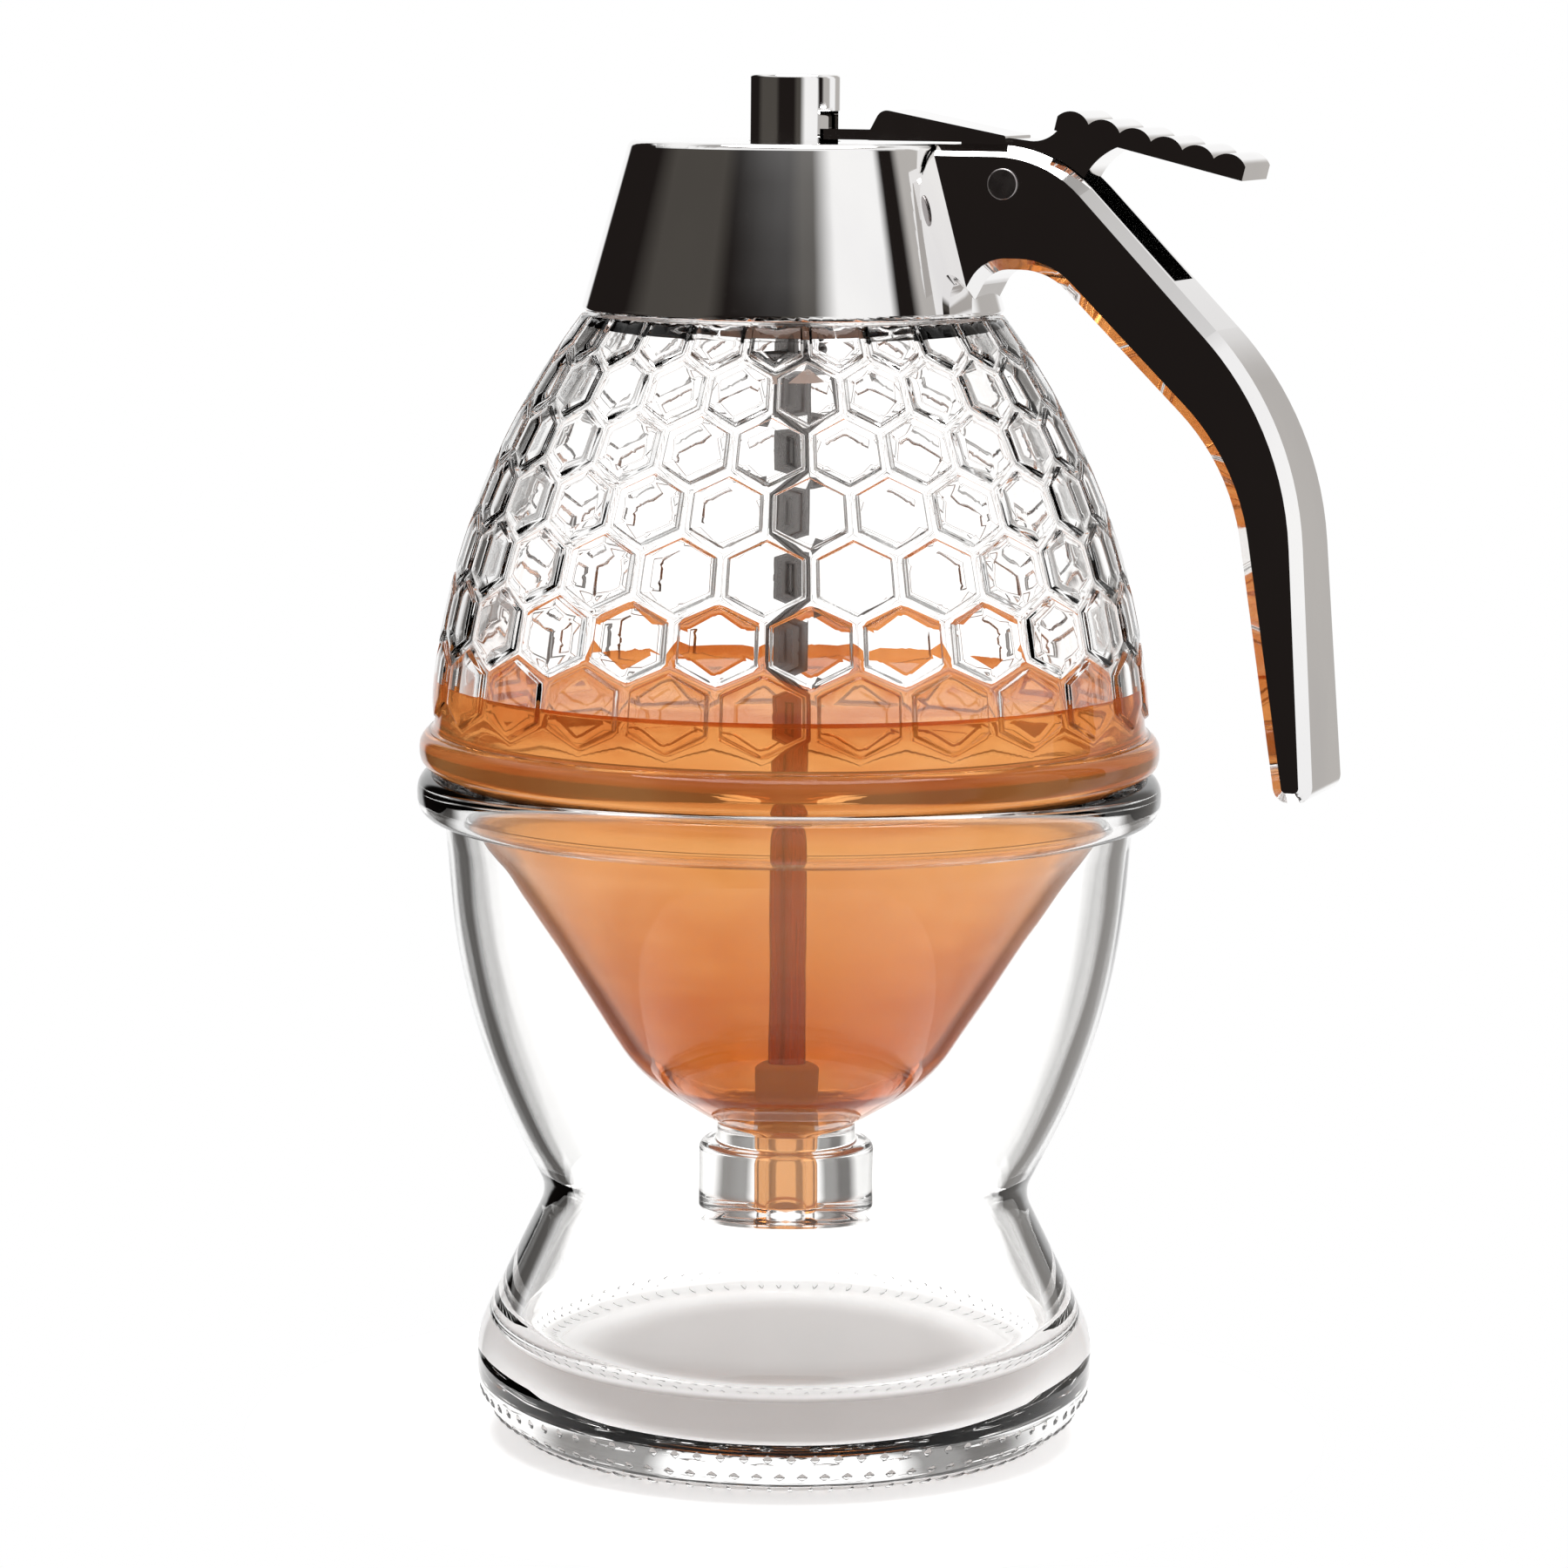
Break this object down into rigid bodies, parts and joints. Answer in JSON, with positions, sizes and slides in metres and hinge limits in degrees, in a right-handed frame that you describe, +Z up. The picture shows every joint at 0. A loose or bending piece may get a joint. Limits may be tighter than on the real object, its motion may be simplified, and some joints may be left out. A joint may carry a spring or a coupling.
{
  "type": "honey dispenser",
  "caption": "Egg-shaped glass honey jar with raised honeycomb relief in a flared glass stand, under a chrome screw cap with pistol handle, thumb lever and spring-loaded stopper rod.",
  "frame": {"origin": "centre of the stand's flat underside, on the axis of the stand and jar", "axes": "+Z up along the jar's axis, +X from the axis towards the handle, +Y across the handle"},
  "size_m": [0.127, 0.1022, 0.1876],
  "materials": {
    "clear_glass": "clear pressed soda-lime glass",
    "chrome_plate": "bright chrome plate",
    "white_plastic": "plain food-safe plastic",
    "silicone": "milky silicone",
    "pin_steel": "dull steel pin",
    "rod_steel": "drawn stainless steel",
    "spring_steel": "spring wire"
  },
  "bodies": {
    "stand": {"stand": "clear_glass"},
    "jar": {"jar": "clear_glass"},
    "gasket": {"cap_gasket": "silicone"},
    "cap": {"cap": "chrome_plate", "cap_liner": "white_plastic", "rod_guide": "white_plastic", "lever_pin": "pin_steel"},
    "lever": {"lever": "chrome_plate"},
    "plunger": {"plunger_post": "chrome_plate", "plunger_rod": "rod_steel", "spring_collar": "white_plastic", "return_spring": "spring_steel", "stopper": "silicone"}
  },
  "joints": [
    {"name": "jar_lift", "type": "slide", "parent": "stand", "child": "jar", "axis": [0, 0, 1], "range_m": [0, 0.075]},
    {"name": "cap_lift", "type": "slide", "parent": "jar", "child": "gasket", "axis": [0, 0, 1], "range_m": [0, 0.14]},
    {"name": "cap_turn", "type": "hinge", "parent": "gasket", "child": "cap", "pos_m": [0, 0, 0.1787], "axis": [0, 0, 1], "range_deg": [0, 450]},
    {"name": "lever_press", "type": "hinge", "parent": "cap", "child": "lever", "pos_m": [0.0317, 0, 0.1736], "axis": [0, 1, 0], "range_deg": [0, 12]},
    {"name": "plunger_lift", "type": "slide", "parent": "cap", "child": "plunger", "axis": [0, 0, 1], "range_m": [0, 0.006], "stiffness_N_per_m": 250, "springref_m": -0.008, "deforming": ["return_spring"]}
  ],
  "couplings": [
    {"joint": "lever_press", "follows": "plunger_lift", "rad_per_m": 34.9}
  ]
}
